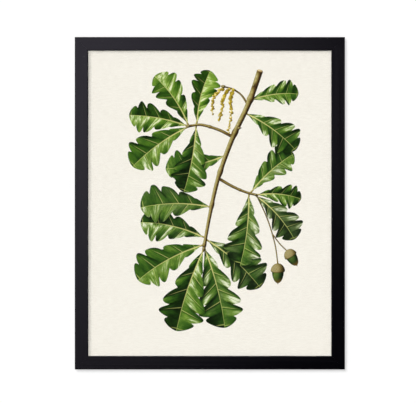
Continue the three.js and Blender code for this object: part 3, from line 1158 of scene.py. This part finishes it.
def compose():
    """A hanging oak twig with three bunches of leaves, a shoot with catkins and two acorns, from the
    back layer to the front one. Every stalk lies under the twig that it grows from."""
    plate = Plate()
    for at, heading, length, bend, roll, age in LEAVES_BEHIND:
        plate.stalk(at, heading, bend)
        plate.leaf(at, heading, length, bend, roll, age)
    for at, heading, _, bend, _, _ in LEAVES_BEFORE:
        plate.stalk(at, heading, bend)
    plate.stick("bark", [(62, 160), (52, 176), (38, 186), (24, 190)], 1.7, 1.2, (0.6,))
    plate.stick("bark", [(38, 108), (14, 120), (-14, 128), CROWN], 2.6, 2.0, (0.5, 0.98))
    plate.stick("bark", [(15, 40), (36, 28), (56, 19), SIDE], 2.5, 1.9, (0.55, 0.98))
    plate.stick("bark", [(82, 216), (63, 162), (37, 106), (14, 42), (1, -14), FOOT], 5.0, 2.5,
                (0.17, 0.37, 0.57, 0.76, 0.98), sawn=True)
    plate.cut((77.6, 217.6), -19, 4.7)
    plate.stick("bark", [(76, 14), (94, -26), (106, -66), (111, -100)], 1.1, 1.0)
    plate.stick("bark", [(102, -50), (114, -66), (126, -78)], 1.0, 1.0)
    plate.acorn((126, -76), -58, 1.1)
    plate.acorn((111, -98), -90, 1.2)
    for leaf in LEAVES_BEFORE:
        plate.leaf(*leaf)
    plate.catkin([(38, 186), (33, 168), (35, 146), (30, 118)], 62)
    plate.catkin([(31, 189), (22, 170), (20, 152), (14, 134)], 52)
    plate.catkin([(25, 190), (10, 178), (4, 162), (4, 148)], 46)
    plate.bud((25.6, 189.6), 166, 1.25)
    plate.bud((70, 190), 60)
    plate.bud((45, 122), 10)
    plate.bud((-32, 126), 188, 1.1)
    plate.bud((72, 15), -22)
    plate.bud((-9.7, -71), 268, 1.25)
    plate.cast_shades()
    return plate


def add_plate():
    sheet("print_paper_sheet", "print_sheet", cream_paper(), 0.05 * MM)
    plate = compose()
    inks = {
        "leaf": leaf_ink(),
        "bark": stick_ink("bark_ink", BARK, 0.35),
        "wood": stick_ink("wood_ink", WOOD, 0.3),
        "stalk": stick_ink("stalk_ink", STALK, 0.2, 0.3, 0.35),
        "nut": nut_ink(),
        "cup": cup_ink(),
        "catkin": catkin_ink(),
    }
    for ink, material in inks.items():
        piece = assemble(f"printed_{ink}", plate.pieces(ink), material)
        thicken(piece, INK_T, 0)


# ---- Stage, light and camera ----

WALL_Y = 0.6 * MM
WALL_HALF = 1.2
WALL_TOP = 1
FLOOR_HALF = 5
FLOOR_Z = -1.1
AMBIENT = 0.11


def plane(name, corners, material):
    """A flat stage panel."""
    mesh = bpy.data.meshes.new(name)
    mesh.from_pydata(corners, [], [(0, 1, 2, 3)])
    mesh.materials.append(material)
    panel = put(name, mesh)
    return panel


def wall_white():
    """White wall paint with a steady glow that keeps its shadows pale, clear from behind."""
    paint = Paint("wall_white")
    paint.finish((0.85, 0.85, 0.85, 1), 0.9, emission_color=WHITE, emission_strength=0.585)
    paint.blend(paint.back_face(), Term(paint, paint.shader.outputs[0]), paint.see_through())
    return paint.material


def floor_pale():
    """Pale floor with faint clouds."""
    paint = Paint("floor_pale")
    x, y, _ = paint.place()
    cloud = paint.noise(x * 3, y * 3)
    colour = paint.mix(cloud, (0.74, 0.74, 0.73, 1), (0.8, 0.8, 0.79, 1))
    return paint.finish(colour, 0.8)


def add_stage():
    """The wall that the frame hangs on and the floor below the picture."""
    around = ((-1, 0), (1, 0), (1, 1), (-1, 1))
    upright = [(x * WALL_HALF, WALL_Y, (FLOOR_Z, WALL_TOP)[top]) for x, top in around]
    level = [(x * FLOOR_HALF, (2 * far - 1) * FLOOR_HALF, FLOOR_Z) for x, far in around]
    wall = plane("wall", upright, wall_white())
    floor = plane("floor", level, floor_pale())
    for panel in (wall, floor):
        panel.visible_glossy = False
        panel.visible_diffuse = False
    wall.visible_shadow = False
    return wall, floor


def lamp(kind, name, back):
    """A light of a kind, turned so that back points behind it."""
    made = put(name, bpy.data.lights.new(name, kind))
    made.rotation_euler = Vector(back).to_track_quat("Z", "Y").to_euler()
    return made


def sun(name, towards, share, spread):
    """A sun from a direction, as a share of full light on a surface that faces its steepest way."""
    made = lamp("SUN", name, towards)
    direction = unit(np.array(towards, float))
    made.data.energy = share * math.pi / np.abs(direction).max()
    made.data.angle = math.radians(spread)
    made.visible_glossy = False
    return made


def softbox(name, place, size, power, colour=WHITE[:3], roll=0):
    """A square area light that faces the frame's middle, rolled about its own axis by some degrees."""
    made = lamp("AREA", name, place - CENTRE)
    made.rotation_euler.rotate_axis("Z", math.radians(roll))
    made.location = place
    made.data.size = size
    made.data.energy = power
    made.data.color = colour
    made.visible_camera = False
    return made


def link(light, things, state):
    """Lets a light reach only these things, or all but these."""
    group = bpy.data.collections.new(f"{light.name}_reach")
    for thing in things:
        group.objects.link(thing)
    for reached in group.collection_objects:
        reached.light_linking.link_state = state
    light.light_linking.receiver_collection = group


def add_world():
    """A white surround that the camera sees, and a faint even light from all round."""
    world = bpy.data.worlds.new("studio")
    bpy.context.scene.world = world
    world.use_nodes = True
    world.cycles_visibility.glossy = False
    graph = Graph(world.node_tree)
    graph.tree.nodes.remove(graph.tree.nodes["Background"])
    seen = graph.node("ShaderNodeBackground", inputs={"Color": WHITE, "Strength": 1.0})
    faint = graph.node("ShaderNodeBackground", inputs={"Color": WHITE, "Strength": AMBIENT})
    camera_ray = graph.node("ShaderNodeLightPath", output="Is Camera Ray")
    graph.blend(camera_ray, faint, seen, "World Output")


SHEEN_TINT = (0.88, 0.82, 1.0)
SHEEN_ROLL = 19

# Panels in front that only the black rails mirror: name, place, size and power.
SHEENS = (
    ("high", (-0.318, -1.852, 0.133), 0.97, 2.15),
    ("near", (-0.518, -0.779, -0.235), 1.05, 1.12),
)

# Broad panels behind the frame, which light its back: name, place and power.
BACK_PANELS = (
    ("left", (-1.3, 1.6, 0.5), 34),
    ("right", (1.4, 1.5, -0.45), 22),
)
BACK_PANEL_SIZE = 1.6

# Panels behind and beside the frame that only shiny surfaces show: name, place, size and power. Each
# is nearer than the broad panel in its direction, which would hide it.
GLEAMS = (
    ("left_back", (-1.17, 1.44, 0.45), 1.6, 11.2),
    ("right_back", (1.26, 1.35, -0.4), 1.6, 7.3),
    ("middle_back", (0, 2.2, -0.15), 1.4, 3.6),
    ("left_side", (-2.2, 0.4, -0.26), 1.4, 7),
    ("right_side", (2.2, 0.4, -0.26), 1.4, 7),
)


def add_lights(wall, floor, rails):
    """A soft key from the upper left, a broad light from the front, one light each for the wall and
    the floor, two panels that only the black rails mirror, and two behind for the back. Those two are
    too bright to mirror, so dim panels give bare metal its grey."""
    link(sun("key", (-0.55, -1, 0.44), 0.315, 22), [wall], "EXCLUDE")
    link(sun("front", (0.05, -1, 0.05), 0.679, 8), [wall], "EXCLUDE")
    link(sun("wall_wash", (-0.15, -1, 0.17), 0.42, 13.4), [wall], "INCLUDE")
    link(sun("floor_wash", (-0.1, -0.3, 1), 0.9, 20), [floor], "INCLUDE")
    for name, place, size, power in SHEENS:
        light = softbox(f"{name}_sheen", place, size, power, SHEEN_TINT, SHEEN_ROLL)
        light.visible_diffuse = False
        link(light, rails, "INCLUDE")
    for name, place, power in BACK_PANELS:
        broad = softbox(f"back_{name}", place, BACK_PANEL_SIZE, power)
        broad.visible_glossy = False
        link(broad, [wall], "EXCLUDE")
    for name, place, size, power in GLEAMS:
        softbox(f"{name}_gleam", place, size, power).visible_diffuse = False


MM_PER_PIXEL = 1.6301
PIXEL = MM_PER_PIXEL * MM
IMAGE_WIDTH = 416
SENSOR_WIDTH = 36
CAMERA_DISTANCE = 6.0
FRAME_RIGHT_OF_MIDDLE = 1.86  # pixels from the image's middle to the frame's
FRAME_BELOW_MIDDLE = 1.77


def add_camera():
    """A long lens square to the picture, far enough off that the lip hides its own depth."""
    data = bpy.data.cameras.new("camera")
    camera = put("camera", data)
    data.sensor_width = SENSOR_WIDTH
    data.lens = SENSOR_WIDTH * CAMERA_DISTANCE / (IMAGE_WIDTH * PIXEL)
    data.clip_end = 50
    x = CENTRE[0] - FRAME_RIGHT_OF_MIDDLE * PIXEL
    z = CENTRE[2] + FRAME_BELOW_MIDDLE * PIXEL
    camera.location = (x, FRONT_Y - CAMERA_DISTANCE, z)
    camera.rotation_euler = (math.pi / 2, 0, 0)
    bpy.context.scene.camera = camera


# ---- Making ----

bpy.context.scene.view_settings.view_transform = "Standard"
add_camera()
add_world()
add_lights(*add_stage(), add_rails())
add_sheets()
add_tabs()
add_v_nails()
add_hanger()
add_bumpers()
add_plate()
